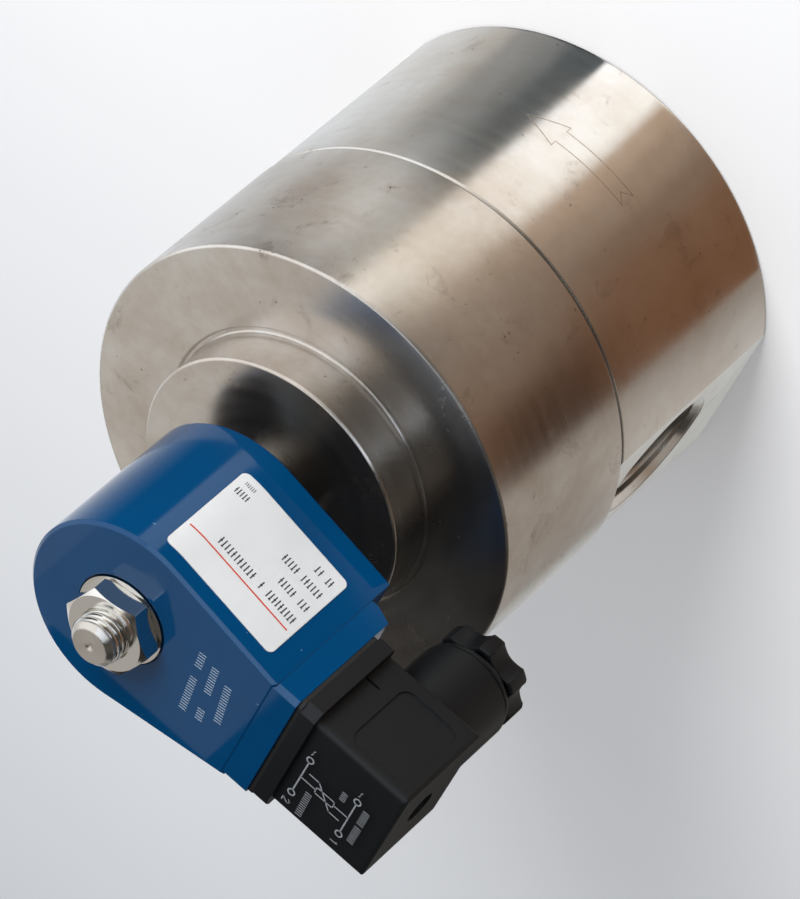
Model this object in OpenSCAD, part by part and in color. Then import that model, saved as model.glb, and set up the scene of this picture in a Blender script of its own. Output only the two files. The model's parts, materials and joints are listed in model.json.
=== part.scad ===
// High pressure solenoid valve: a pilot operated piston valve with threaded ports,
// turned from stainless bar, with an encapsulated coil and a square cable connector.
// The axis of the stem is Z, the body stands on Z = 0, and flow runs from -X to +X.

/* [Port body] */
// Diameter of the body and of the bonnet above it
body_d = 110; // [106:1:120]
// Height of the port body
body_h = 58.5; // [57:0.5:62]
// Chamfer on the outer edges of the body and the bonnet
edge_chamfer = 0.5; // [0.3:0.1:2]
// Distance across the two flats that the ports open on
flat_width = 102.6; // [98:0.2:104]
// Height of the port axis above the foot
port_z = 32; // [30:0.5:34]
// Core diameter of the port thread
port_d = 30.29; // [28:0.01:31]
// Diameter of the countersink at the port mouth
port_mouth_d = 33.6; // [33:0.1:36]
// Depth of the port thread
port_depth = 18; // [16:0.5:18]
// Diameter of the drilled passages behind the ports
passage_d = 17; // [14:0.5:18]
// Bore of the main seat
seat_bore = 24; // [20:0.5:25]
// Width of the flat ring that the main seal closes on
seat_rim = 3; // [2:0.1:3.4]
// Height of the seat ring above the floor of the ring chamber
seat_h = 4.5; // [3:0.1:5]
// Diameter of the ring chamber round the seat
chamber_d = 52; // [48:1:54]

/* [Bonnet] */
// Height of the bonnet above the joint
bonnet_h = 45; // [43:0.5:50]
// Diameter of the raised boss on top of the bonnet
boss_d = 67; // [60:1:74]
// Height of the boss
boss_h = 11.5; // [9:0.5:14]
// Width and depth of the relief groove at the foot of the boss
boss_groove = 0.8; // [0.4:0.1:1.2]
// Diameter of the threaded spigot that screws into the body
spigot_d = 58; // [56:1:60]
// Length of the spigot
spigot_l = 10.5; // [9:0.5:11]
// Bore of the piston cylinder
cylinder_d = 40; // [38:0.5:42]
// Thickness of the bonnet above the cylinder, up to the foot of the boss
roof_t = 13.5; // [11:0.5:15]
// Diameter of the thread that holds the armature tube
tube_thread_d = 20; // [18:0.5:20.4]
// Depth of that thread
tube_thread_l = 15; // [12:0.5:17]

/* [Piston] */
// Radial running clearance of the piston and of the plunger
run_clear = 0.06; // [0.02:0.01:0.1]
// Height of the piston body
piston_h = 30; // [27:0.5:31]
// Thickness of the main seal disc
seal_t = 3; // [2:0.1:3.4]
// Height of the retainer flange that hangs in the seat bore
retainer_t = 3; // [2:0.1:4]
// Diameter of the pilot bore through the piston
pilot_bore = 3; // [2:0.1:3.4]
// Wire diameter of the piston spring
piston_wire = 1.6; // [1:0.1:2]
// Mean diameter of the piston spring
piston_spring_d = 23.4; // [22:0.1:24.4]

/* [Armature] */
// Outer diameter of the armature tube
tube_d = 16; // [15:0.1:17]
// Wall of the armature tube
tube_wall = 1.5; // [1:0.1:1.8]
// Diameter of the collar that the coil stands on
collar_d = 20.8; // [20.6:0.1:21.4]
// Distance across the spanner flats of the collar
collar_flats = 19; // [18:0.1:19.4]
// Stroke of the plunger
stroke = 7; // [5:0.5:8]
// Length of the plunger
plunger_l = 65; // [60:1:67]
// Wire diameter of the plunger spring
plunger_wire = 0.7; // [0.4:0.1:0.8]
// Thread diameter of the stud on the fixed core
stud_d = 12; // [10:0.2:12.4]
// Length of stud that stands out of the nut
stud_show = 5.3; // [3:0.1:9]

/* [Coil] */
// Gap between the boss and the coil, which the collar of the tube fills
coil_gap = 11.1; // [9:0.1:14]
// Diameter of the round end of the coil
coil_d = 48.4; // [46:0.2:54]
// Height of the coil
coil_h = 42.6; // [40:0.2:48]
// Distance from the stem to the flat end of the coil
coil_end = 36.5; // [34:0.5:40]
// Width of the flat end of the coil
coil_end_w = 34.8; // [32:0.2:38]
// Chamfer along the rims of the coil
coil_chamfer = 0.8; // [0.4:0.1:1.2]
// Diameter of the recess under the top washer
recess_d = 22.6; // [22.4:0.1:24]
// Depth of that recess
recess_depth = 1.2; // [0.6:0.1:1.6]
// Length of the pedestal that carries the connector
pedestal_l = 6.1; // [5:0.1:8]
// Width of the pedestal
pedestal_w = 34.6; // [32:0.2:35]
// Height of the pedestal
pedestal_h = 35.1; // [32:0.1:38]
// Drop from the top of the coil to the top of the pedestal
pedestal_drop = 0.2; // [0:0.1:3]
// Diameter over the copper winding
winding_d = 37; // [34:0.5:38]
// Thickness of the steel sleeve and of the end plates round the winding
yoke_t = 2.5; // [1.5:0.1:2.6]

/* [Stem nut] */
// Distance across the flats of the coil nut
nut_af = 19; // [17:0.5:19.5]
// Height of the coil nut
nut_h = 5.6; // [4:0.1:6.4]
// Diameter of the washer under the coil nut
washer_d = 21.8; // [21:0.1:22]
// Thickness of that washer
washer_t = 1.6; // [1.2:0.1:2.4]

/* [Connector] */
// Height of the connector's centre screw above the foot of the coil
conn_rise = 27.2; // [26:0.1:28.4]
// Drop from the centre screw to the middle of the housing
housing_drop = 0.5; // [0:0.1:1.5]
// Rise from the centre screw to the middle of the flange
flange_rise = 0.2; // [0:0.1:1]
// Thickness of the flat gasket behind the connector
gasket_t = 1.2; // [0.8:0.1:2]
// Width of the flange that seats on the gasket
flange_w = 35.2; // [31:0.2:36]
// Height of the flange
flange_h = 29; // [28:0.1:31]
// Thickness of the flange
flange_t = 4; // [3:0.1:5]
// Width of the connector housing
housing_w = 29.4; // [28:0.2:30.6]
// Height of the connector housing
housing_h = 27.6; // [26.6:0.2:28.6]
// Length of the housing beyond its flange
housing_l = 25.6; // [24:0.1:27]
// Wall of the housing
housing_wall = 1.8; // [1.4:0.1:2.2]
// Rounding of the edges along the housing
housing_round = 1.4; // [0.8:0.1:2]
// Diameter of the centre screw's head pocket
screw_pocket_d = 8; // [6.6:0.1:9]
// Thread diameter of the centre screw
screw_d = 3; // [2.6:0.1:3.4]
// Diameter of the gland barrel
barrel_d = 23.6; // [22:0.1:24.6]
// Height of the gland barrel under the housing
barrel_h = 19.5; // [16:0.1:20]
// Diameter over the lobes of the gland nut
gland_d = 22.8; // [22:0.1:24]
// Diameter of the gland nut between its lobes
gland_waist_d = 20; // [19:0.1:20.6]
// Height of the gland nut
gland_h = 6.5; // [6:0.1:8]
// Number of lobes on the gland nut
gland_lobes = 6; // [4:1:8]
// Bore of the rubber ring that grips a cable
cable_d = 8; // [6:0.1:9]

/* [Label] */
// Length of the rating label along the side of the coil
label_l = 32.9; // [28:0.1:33.4]
// Height of the rating label
label_h = 28.9; // [20:0.1:31]
// Thickness of the rating label
label_t = 0.2; // [0.1:0.05:0.4]
// Corner radius of the rating label
label_r = 1.6; // [0.6:0.1:2.4]

/* [Hidden] */
$fn = 96;

// Extra length of a cutter beyond the face that it opens
over = 1;
// Radial gap between pieces that are assembled by hand and do not move
fit = 0.05;

// Levels along the stem
joint_z = body_h;
face_z = joint_z + bonnet_h;
boss_z = face_z + boss_h;
coil_z = boss_z + coil_gap;
coil_top = coil_z + coil_h;
roof_z = face_z - roof_t;
spigot_z = joint_z - spigot_l;
body_r = body_d / 2;
flat_x = flat_width / 2;

// Seat and passages
inlet_z = port_z + (port_d - passage_d) / 2 - 0.6;
outlet_z = port_z - (port_d - passage_d) / 2 + 0.6;
passage_wall = 7;
passage_top = outlet_z + passage_d / 2;
chamber_z = passage_top + 4.6;
seat_z = chamber_z + seat_h;
seat_ring_d = seat_bore + 2 * seat_rim;
passage_x = flat_x - port_depth;

// Seal rings in the joints
ring_wire = 2.4;
ring_groove_w = 3.4;
body_seal_r = spigot_d / 2 + 5;
tube_seal_wire = 1.8;

// Piston stack, from the seat upwards
seal_d = seat_ring_d + 1;
piston_z = seat_z + seal_t;
piston_top = piston_z + piston_h;
piston_r = cylinder_d / 2 - run_clear;
ring_t = 1.8;
ring_h = 3;
guide_h = 5;
piston_ring_z = piston_top - 8;
guide_ring_z = piston_z + 5;
spring_pocket = 10;
spring_floor = piston_top - spring_pocket;
pilot_lip_z = piston_top - 4;
retainer_neck_d = 12;
retainer_neck_l = 8;
retainer_d = seat_bore - 3;
bleed_d = 1.2;
bleed_r = (seal_d / 2 + piston_r - ring_t) / 2;

// Plunger and core
plunger_r = tube_d / 2 - tube_wall - run_clear;
plunger_z = pilot_lip_z;
plunger_top = plunger_z + plunger_l;
core_z = plunger_top + stroke;
disc_r = 3.2;
disc_t = 3;
spring_bore_d = 7;
spring_bore_l = 14;
plunger_spring_d = 5.4;
slot_w = 2;
slot_l = 22;
stem_r = 7;

// Top of the stem
recess_z = coil_top - recess_depth;
washer_top = recess_z + washer_t;
nut_top = washer_top + nut_h;
stud_top = nut_top + stud_show;
thread_depth = 0.4;
tube_top = recess_z - 2;
core_cap_t = 1.7;
seat_seal_t = 1;

// Coil
coil_r = coil_d / 2;
end_hw = coil_end_w / 2;
coil_bore_d = tube_d + 0.2;
side_dist = norm([coil_end, end_hw]);
side_turn = atan2(end_hw, coil_end);
side_spread = acos(coil_r / side_dist);
tangent = [-coil_r * cos(side_turn + side_spread), -coil_r * sin(side_turn + side_spread)];
side_angle = atan2(-end_hw - tangent[1], -coil_end - tangent[0]);
cavity_d = winding_d + 2 * fit + 2 * yoke_t + 2 * fit;
cavity_z = coil_z + 2.6;
cavity_top = coil_top - 5;
bobbin_wall = 1.4;
bobbin_flange = 1.6;
bobbin_z = cavity_z + yoke_t;
bobbin_top = cavity_top - yoke_t;

// Label
label_lead = 6.2;
label_z = coil_top - 4.4 - label_h;

// Connector
pedestal_x = coil_end + pedestal_l;
pedestal_top = coil_top - pedestal_drop;
pedestal_z = pedestal_top - pedestal_h;
pedestal_chamfer = 1.2;
pedestal_foot = [4.1, 1.8];
conn_z = coil_z + conn_rise;
flange_x = pedestal_x + gasket_t;
flange_cut = 2.2;
housing_x = flange_x + flange_t;
housing_z = conn_z - housing_drop;
end_x = housing_x + housing_l;
gland_x = housing_x + housing_l / 2 + 0.4;
barrel_top = housing_z - housing_h / 2;
barrel_z = barrel_top - barrel_h;
gland_gap = 1;
gland_top = barrel_z - gland_gap;
gland_z = gland_top - gland_h;
gland_wall = 1.5;
neck_d = 17;
gland_bore = 12.6;
gland_floor = 1.8;
gland_washer_t = 1;
grommet_h = 10;
grommet_z = gland_z + gland_floor + gland_washer_t;
cavity_w = housing_w - 2 * housing_wall;
cavity_h = housing_h - 2 * housing_wall;
end_wall = 5.5;
cavity_l = flange_t + housing_l - end_wall;
carrier_gap = 0.15;
carrier_l = 14.5;
blade_w = 6.3;
blade_t = 0.8;
blade_l = 11;
blade_root = 4;
earth_drop = 8;
clamp_l = 4;
clamp_w = 7.6;
clamp_h = 5;
contact_margin = 1.4;
blade_pitch = cavity_w - clamp_h - 2 * contact_margin;
clamp_screw_d = 3;
panel_depth = 0.4;
panel_round = 3;
panel_margin = 2.7;
slit_drop = 5;
screw_head_d = 6.4;
screw_head_l = 2.2;
screw_grip = 7;
screw_seal_wire = 0.9;
pocket_depth = 4.1;

// Helical springs
spring_sides = 8;
spring_steps = 18;

// Solid of revolution from a list of [radius, height] points
module turned(points) {
  rotate_extrude() polygon(points);
}

// Ring with a round section lying flat at height z
module round_ring(mean_r, wire, z) {
  translate([0, 0, z]) rotate_extrude() translate([mean_r, 0]) circle(d = wire, $fn = 24);
}

// Hollow cylinder
module sleeve(outer_d, inner_d, h) {
  difference() {
    cylinder(d = outer_d, h = h);
    translate([0, 0, -over]) cylinder(d = inner_d, h = h + 2 * over);
  }
}

// Outline of a rectangle with round corners, centred
module round_rect(w, h, r) {
  square([w - 2 * r, h], center = true);
  square([w, h - 2 * r], center = true);
  for (sx = [-1, 1], sy = [-1, 1])
    translate([sx * (w / 2 - r), sy * (h / 2 - r)]) circle(r = r, $fn = 32);
}

// Moves a shape drawn in the plane of the connector's face: X across, Y up, Z outwards
module on_connector(x) {
  translate([-x, 0, conn_z]) rotate([0, 0, 180]) rotate([90, 0, 90]) children();
}

// Coil spring with its ends at heights 0 and h
module helix(mean_d, wire, turns, h) {
  steps = round(turns * spring_steps);
  rise = h - wire;
  function ring(i) = [for (k = [0 : spring_sides - 1])
    let (a = 360 * turns * i / steps, b = 360 * k / spring_sides,
      r = mean_d / 2 + wire / 2 * cos(b))
    [r * cos(a), r * sin(a), wire / 2 + rise * i / steps + wire / 2 * sin(b)]];
  points = [for (i = [0 : steps]) each ring(i)];
  last = steps * spring_sides;
  sides = [for (i = [0 : steps - 1], k = [0 : spring_sides - 1])
    let (a = i * spring_sides, n = (k + 1) % spring_sides)
    [a + k, a + n, a + spring_sides + n, a + spring_sides + k]];
  foot = [[for (k = [spring_sides - 1 : -1 : 0]) k]];
  head = [[for (k = [0 : spring_sides - 1]) last + k]];
  polyhedron(points = points, faces = concat(sides, foot, head), convexity = 10);
}

// Threaded port, opening along +Z at the origin and running down
module port_cut() {
  mouth_depth = (port_mouth_d - port_d) / 2;
  translate([0, 0, -port_depth]) cylinder(d = port_d, h = port_depth + over);
  translate([0, 0, -mouth_depth]) cylinder(d1 = port_d, d2 = port_mouth_d, h = mouth_depth);
  translate([0, 0, -mouth_depth / 8]) cylinder(d = port_mouth_d, h = over);
}

module valve_body() {
  e = edge_chamfer;
  color([0.72, 0.69, 0.65]) difference() {
    turned([[0, 0], [body_r - e, 0], [body_r, e], [body_r, joint_z - e], [body_r - e, joint_z],
      [0, joint_z]]);
    for (s = [-1, 1]) translate([s * (flat_x + body_r / 2), 0, joint_z / 2])
      cube([body_r, body_d, joint_z + 2 * over], center = true);
    for (s = [-1, 1]) translate([s * flat_x, 0, port_z]) rotate([0, s * 90, 0]) port_cut();
    // Inlet passage into the ring chamber
    translate([-passage_x - over, 0, inlet_z]) rotate([0, 90, 0])
      cylinder(d = passage_d, h = passage_x + over - seat_bore / 2 - passage_wall);
    // Outlet passage from under the seat
    translate([0, 0, outlet_z]) rotate([0, 90, 0]) cylinder(d = passage_d, h = passage_x + over);
    translate([0, 0, outlet_z - passage_d / 2 + 2]) cylinder(d = seat_bore, h = seat_z);
    difference() {
      translate([0, 0, chamber_z]) cylinder(d = chamber_d, h = joint_z);
      translate([0, 0, chamber_z - over]) cylinder(d = seat_ring_d, h = seat_h + over);
    }
    // Thread that takes the bonnet
    translate([0, 0, spigot_z - 0.5]) cylinder(d = spigot_d + 2 * fit, h = joint_z);
  }
}

module bonnet() {
  e = edge_chamfer;
  g = boss_groove;
  boss_r = boss_d / 2;
  groove_r = body_seal_r;
  color([0.74, 0.71, 0.67]) difference() {
    turned([[cylinder_d / 2, spigot_z], [spigot_d / 2 - e, spigot_z],
      [spigot_d / 2, spigot_z + e], [spigot_d / 2, joint_z],
      [groove_r - ring_groove_w / 2, joint_z], [groove_r - ring_groove_w / 2, joint_z + ring_wire],
      [groove_r + ring_groove_w / 2, joint_z + ring_wire], [groove_r + ring_groove_w / 2, joint_z],
      [body_r - e, joint_z], [body_r, joint_z + e],
      [body_r, face_z - e], [body_r - e, face_z], [boss_r + 2 * g, face_z],
      [boss_r + 1.5 * g, face_z - g / 2], [boss_r + g / 2, face_z - g / 2], [boss_r, face_z],
      [boss_r, boss_z - e], [boss_r - e, boss_z],
      [tube_thread_d / 2 + fit, boss_z], [tube_thread_d / 2 + fit, boss_z - tube_thread_l],
      [stem_r, boss_z - tube_thread_l], [stem_r, roof_z], [cylinder_d / 2, roof_z]]);
  }
}

module body_seal() {
  color([0.1, 0.1, 0.1]) round_ring(body_seal_r, ring_wire, joint_z + ring_wire / 2);
}

module armature_tube() {
  tube_r = tube_d / 2;
  bore_r = tube_r - tube_wall;
  foot_z = boss_z - tube_thread_l + tube_seal_wire;
  collar_z = coil_z - seat_seal_t;
  color([0.70, 0.69, 0.68]) difference() {
    turned([[bore_r, foot_z], [tube_thread_d / 2 - 0.6, foot_z],
      [tube_thread_d / 2, foot_z + 0.6], [tube_thread_d / 2, boss_z], [collar_d / 2, boss_z],
      [collar_d / 2, collar_z - 0.4], [collar_d / 2 - 0.4, collar_z], [tube_r, collar_z],
      [tube_r, tube_top], [bore_r, tube_top]]);
    for (s = [-1, 1]) translate([s * (collar_flats / 2 + 5), 0, boss_z + coil_gap / 2 - over])
      cube([10, collar_d, coil_gap - 4], center = true);
  }
}

module tube_seal() {
  z = boss_z - tube_thread_l + tube_seal_wire / 2;
  color([0.1, 0.1, 0.1]) round_ring((tube_thread_d / 2 + stem_r) / 2, tube_seal_wire, z);
}

module fixed_core() {
  core_r = tube_d / 2 - tube_wall - fit;
  cap_z = tube_top + core_cap_t;
  thread_r = stud_d / 2 - thread_depth;
  tip = 1.2;
  color([0.66, 0.64, 0.62]) difference() {
    turned([[0, core_z], [core_r, core_z], [core_r, tube_top], [tube_d / 2, tube_top],
      [tube_d / 2, cap_z], [thread_r, cap_z], [thread_r, stud_top - tip],
      [thread_r - tip, stud_top], [1.2, stud_top], [0, stud_top - 0.5]]);
  }
}

module piston() {
  r = piston_r;
  ring_r = cylinder_d / 2 - ring_t;
  lip_r = pilot_bore / 2 + 1.6;
  hub_r = piston_spring_d / 2 - piston_wire / 2 - 1;
  rim_r = piston_spring_d / 2 + piston_wire / 2 + 0.5;
  color([0.62, 0.60, 0.57]) difference() {
    turned([[pilot_bore / 2, piston_z + retainer_neck_l], [retainer_neck_d / 2 + fit,
        piston_z + retainer_neck_l], [retainer_neck_d / 2 + fit, piston_z], [r - 1, piston_z],
      [r, piston_z + 1], [r, guide_ring_z], [ring_r, guide_ring_z],
      [ring_r, guide_ring_z + guide_h], [r, guide_ring_z + guide_h], [r, piston_ring_z],
      [ring_r, piston_ring_z], [ring_r, piston_ring_z + ring_h], [r, piston_ring_z + ring_h],
      [r, piston_top - 0.6], [r - 0.6, piston_top], [rim_r, piston_top], [rim_r, spring_floor],
      [hub_r, spring_floor], [hub_r, pilot_lip_z - 3], [lip_r + 1, pilot_lip_z - 3],
      [lip_r, pilot_lip_z], [pilot_bore / 2, pilot_lip_z]]);
    translate([bleed_r, 0, piston_z - over]) cylinder(d = bleed_d, h = piston_h + 2 * over);
  }
}

module piston_ring() {
  color([0.25, 0.24, 0.23]) translate([0, 0, piston_ring_z + fit]) difference() {
    sleeve(cylinder_d - run_clear, cylinder_d - 2 * ring_t + 2 * fit, ring_h - 2 * fit);
    translate([0, cylinder_d / 2, 0]) cube([0.8, 10, 3 * ring_h], center = true);
  }
}

module guide_ring() {
  color([0.45, 0.30, 0.16]) translate([0, 0, guide_ring_z + fit]) difference() {
    sleeve(cylinder_d - run_clear, cylinder_d - 2 * ring_t + 2 * fit, guide_h - 2 * fit);
    translate([0, -cylinder_d / 2, 0]) cube([0.8, 10, 3 * guide_h], center = true);
  }
}

module seat_disc() {
  color([0.85, 0.83, 0.74]) translate([0, 0, seat_z])
    sleeve(seal_d, retainer_neck_d + 2 * fit, seal_t);
}

module seat_retainer() {
  neck_r = retainer_neck_d / 2;
  tip_z = seat_z - retainer_t;
  neck_top = piston_z + retainer_neck_l;
  color([0.68, 0.67, 0.65]) turned([[pilot_bore / 2, tip_z], [retainer_d / 2 - 1, tip_z],
    [retainer_d / 2, tip_z + 1], [retainer_d / 2, seat_z], [neck_r, seat_z],
    [neck_r, neck_top - 0.6], [neck_r - 0.6, neck_top], [pilot_bore / 2, neck_top]]);
}

module piston_spring() {
  color([0.6, 0.6, 0.6]) translate([0, 0, spring_floor])
    helix(piston_spring_d, piston_wire, 5, roof_z - spring_floor);
}

module plunger() {
  r = plunger_r;
  nose_r = disc_r + 1.6;
  nose_l = 6;
  lip = 0.4;
  color([0.60, 0.59, 0.57]) difference() {
    turned([[disc_r, plunger_z + lip], [nose_r, plunger_z + lip], [nose_r, plunger_z + nose_l],
      [r, plunger_z + nose_l + 2], [r, plunger_top - 0.5], [r - 0.5, plunger_top],
      [spring_bore_d / 2, plunger_top], [spring_bore_d / 2, plunger_top - spring_bore_l],
      [0, plunger_top - spring_bore_l], [0, plunger_z + disc_t], [disc_r, plunger_z + disc_t]]);
    for (s = [-1, 1]) translate([s * r, 0, plunger_top - slot_l / 2])
      cube([slot_w, slot_w, slot_l + over], center = true);
  }
}

module pilot_disc() {
  color([0.12, 0.12, 0.12]) translate([0, 0, plunger_z])
    cylinder(r = disc_r - fit, h = disc_t);
}

module plunger_spring() {
  z = plunger_top - spring_bore_l;
  color([0.6, 0.6, 0.6]) translate([0, 0, z])
    helix(plunger_spring_d, plunger_wire, 8, core_z - z);
}

module coil_seat_seal() {
  color([0.1, 0.1, 0.1]) translate([0, 0, coil_z - seat_seal_t])
    sleeve(collar_d - 1, tube_d + 0.2, seat_seal_t);
}

module coil_washer() {
  color([0.80, 0.80, 0.79]) translate([0, 0, recess_z])
    sleeve(washer_d, stud_d + 0.4, washer_t);
}

module coil_nut() {
  corner_r = nut_af / sqrt(3);
  worn = 0.12;
  bevel = 0.85;
  face_r = nut_af / 2 - 0.1;
  thread_r = stud_d / 2 - thread_depth + fit;
  mouth = 0.8;
  color([0.78, 0.77, 0.75]) translate([0, 0, washer_top]) difference() {
    intersection() {
      rotate([0, 0, 10]) cylinder(r = corner_r, h = nut_h, $fn = 6);
      turned([[0, 0], [face_r, 0], [corner_r - worn, bevel],
        [corner_r - worn, nut_h - bevel], [face_r, nut_h], [0, nut_h]]);
    }
    translate([0, 0, -over]) cylinder(r = thread_r, h = nut_h + 2 * over);
    translate([0, 0, nut_h - mouth]) cylinder(r1 = thread_r, r2 = thread_r + 2 * mouth,
      h = 2 * mouth);
  }
}

// Cutter that bevels by c the edge that runs level from p to q at height z
module edge_bevel(p, q, z, c) {
  run = norm(q - p);
  turn = atan2(q[1] - p[1], q[0] - p[0]);
  translate([p[0], p[1], z]) rotate([0, 0, turn]) rotate([45, 0, 0])
    translate([-run, -c / sqrt(2), -c / sqrt(2)]) cube([3 * run, sqrt(2) * c, sqrt(2) * c]);
}

// Round end with tangent sides that run to the flat end
module coil_blank() {
  c = coil_chamfer;
  a = tangent;
  b = [-coil_end, -end_hw];
  translate([0, 0, coil_z]) turned([[0, 0], [coil_r - c, 0], [coil_r, c],
    [coil_r, coil_h - c], [coil_r - c, coil_h], [0, coil_h]]);
  difference() {
    translate([0, 0, coil_z]) linear_extrude(coil_h)
      polygon([a, b, [b[0], -b[1]], [a[0], -a[1]]]);
    for (z = [coil_z, coil_top]) {
      edge_bevel(a, b, z, c);
      edge_bevel([a[0], -a[1]], [b[0], -b[1]], z, c);
      edge_bevel(b, [b[0], -b[1]], z, c);
    }
  }
}

// Block under the connector: a side outline with a sloped foot, its upper edges bevelled
module pedestal() {
  c = pedestal_chamfer;
  w = pedestal_w / 2;
  foot = pedestal_foot;
  difference() {
    translate([0, w, 0]) rotate([90, 0, 0]) linear_extrude(pedestal_w)
      polygon([[over - coil_end, pedestal_z], [foot[0] - pedestal_x, pedestal_z],
        [-pedestal_x, pedestal_z + foot[1]], [-pedestal_x, pedestal_top],
        [over - coil_end, pedestal_top]]);
    for (s = [-1, 1]) edge_bevel([-pedestal_x, s * w], [-coil_end, s * w], pedestal_top, c);
  }
}

module coil_housing() {
  color([0.05, 0.25, 0.48]) difference() {
    union() {
      coil_blank();
      pedestal();
    }
    translate([0, 0, coil_z - over]) cylinder(d = coil_bore_d, h = coil_h + 2 * over);
    translate([0, 0, cavity_z]) cylinder(d = cavity_d, h = cavity_top - cavity_z);
    translate([0, 0, recess_z]) cylinder(d = recess_d, h = recess_depth + over);
    for (s = [-1, 1]) blade_slot(s * blade_pitch / 2, 0, 0);
    blade_slot(0, -earth_drop, 90);
    on_connector(pedestal_x) translate([0, 0, -screw_grip])
      cylinder(d = screw_d + 2 * fit, h = screw_grip + over);
  }
}

// Slot in the pedestal that holds the root of a flat blade
module blade_slot(y, z, turn) {
  on_connector(pedestal_x) translate([y, z, -blade_root / 2]) rotate([0, 0, turn])
    cube([blade_t, blade_w, blade_root + 2 * fit], center = true);
}

module bobbin() {
  inner = coil_bore_d;
  outer = winding_d;
  hub = inner + 2 * bobbin_wall;
  h = bobbin_top - bobbin_z;
  color([0.16, 0.16, 0.17]) translate([0, 0, bobbin_z]) difference() {
    cylinder(d = outer, h = h);
    translate([0, 0, bobbin_flange]) sleeve(outer + over, hub, h - 2 * bobbin_flange);
    translate([0, 0, -over]) cylinder(d = inner, h = h + 2 * over);
  }
}

module copper_winding() {
  h = bobbin_top - bobbin_z - 2 * bobbin_flange;
  color([0.72, 0.38, 0.18]) translate([0, 0, bobbin_z + bobbin_flange])
    sleeve(winding_d - 0.6, coil_bore_d + 2 * bobbin_wall + 2 * fit, h);
}

module yoke_sleeve() {
  color([0.45, 0.46, 0.48]) translate([0, 0, bobbin_z])
    sleeve(winding_d + 2 * fit + 2 * yoke_t, winding_d + 2 * fit, bobbin_top - bobbin_z);
}

module yoke_plate(z) {
  translate([0, 0, z]) sleeve(winding_d + 2 * fit + 2 * yoke_t, coil_bore_d, yoke_t);
}

module yoke_top_plate() {
  color([0.47, 0.48, 0.50]) yoke_plate(bobbin_top);
}

module yoke_bottom_plate() {
  color([0.47, 0.48, 0.50]) yoke_plate(cavity_z);
}

// Flat contact blade that stands out of the pedestal
module blade(y, z, turn) {
  tip = 1;
  on_connector(pedestal_x) translate([y, z, -blade_root]) rotate([0, 0, turn])
    rotate([90, 0, 90]) translate([0, 0, -blade_t / 2]) linear_extrude(blade_t)
      polygon([[-blade_w / 2, 0], [blade_w / 2, 0], [blade_w / 2, blade_root + blade_l - tip],
        [blade_w / 2 - tip, blade_root + blade_l], [tip - blade_w / 2, blade_root + blade_l],
        [-blade_w / 2, blade_root + blade_l - tip]]);
}

module line_blades() {
  color([0.80, 0.79, 0.76]) for (s = [-1, 1]) blade(s * blade_pitch / 2, 0, 0);
}

module earth_blade() {
  color([0.80, 0.79, 0.76]) blade(0, -earth_drop, 90);
}

// Printed plate that follows the side of the coil: flat on the taper, round past it
module rating_label() {
  bend = label_lead / coil_r * 180 / PI;
  color([0.92, 0.92, 0.90]) intersection() {
    union() {
      on_side() translate([-fit / 4, 0, 0]) cube([label_l, label_t, label_h]);
      translate([0, 0, label_z]) rotate([0, 0, atan2(tangent[1], tangent[0])])
        rotate_extrude(angle = bend) translate([coil_r, 0]) square([label_t, label_h]);
    }
    on_side() translate([label_l / 2 - label_lead, label_r, label_h / 2]) rotate([90, 0, 0])
      linear_extrude(4 * label_r, center = true) round_rect(label_l, label_h, label_r);
  }
}

// Places a child on the labelled side: X along the taper, Y outwards, Z up from the label's foot
module on_side() {
  translate([tangent[0], tangent[1], label_z]) rotate([0, 0, side_angle]) children();
}

module connector_gasket() {
  color([0.09, 0.09, 0.09]) on_connector(pedestal_x) difference() {
    translate([0, flange_rise, 0]) linear_extrude(gasket_t)
      round_rect(flange_w - 4, flange_h - 2, 1.6);
    for (s = [-1, 1]) translate([s * blade_pitch / 2, 0, 0])
      cube([blade_t + 0.8, blade_w + 0.8, 4 * gasket_t], center = true);
    translate([0, -earth_drop, 0]) cube([blade_w + 0.8, blade_t + 0.8, 4 * gasket_t], center = true);
    translate([0, 0, -over]) cylinder(d = screw_d + 1, h = gasket_t + 2 * over);
  }
}

module connector_housing() {
  color([0.13, 0.13, 0.13]) difference() {
    union() {
      on_connector(flange_x) translate([0, flange_rise, 0]) flange_plate();
      on_connector(housing_x) translate([0, -housing_drop, 0]) housing_block();
      translate([-gland_x, 0, barrel_z]) barrel_solid();
    }
    on_connector(flange_x) translate([0, -housing_drop, -over]) linear_extrude(cavity_l + over)
      square([cavity_w, cavity_h], center = true);
    // Pocket for the head of the centre screw, and the hole for its shank
    on_connector(end_x) translate([0, 0, -pocket_depth])
      cylinder(d = screw_pocket_d, h = pocket_depth + over);
    on_connector(end_x) translate([0, 0, -end_wall - over])
      cylinder(d = screw_d + 0.4, h = end_wall + 2 * over);
    // Cable way through the barrel, into the room behind the contacts
    translate([-gland_x, 0, gland_z]) cylinder(d = gland_bore, h = conn_z - gland_z);
    for (s = [-1, 1]) side_panel(s);
    for (s = [-1, 1]) side_slit(s);
  }
}

// Flange with its upper corners cut off
module flange_plate() {
  difference() {
    linear_extrude(flange_t) round_rect(flange_w, flange_h, 2);
    for (s = [-1, 1]) translate([s * flange_w / 2, flange_h / 2, flange_t / 2])
      rotate([0, 0, 45])
        cube([sqrt(2) * flange_cut, sqrt(2) * flange_cut, flange_t + over], center = true);
  }
}

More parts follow.
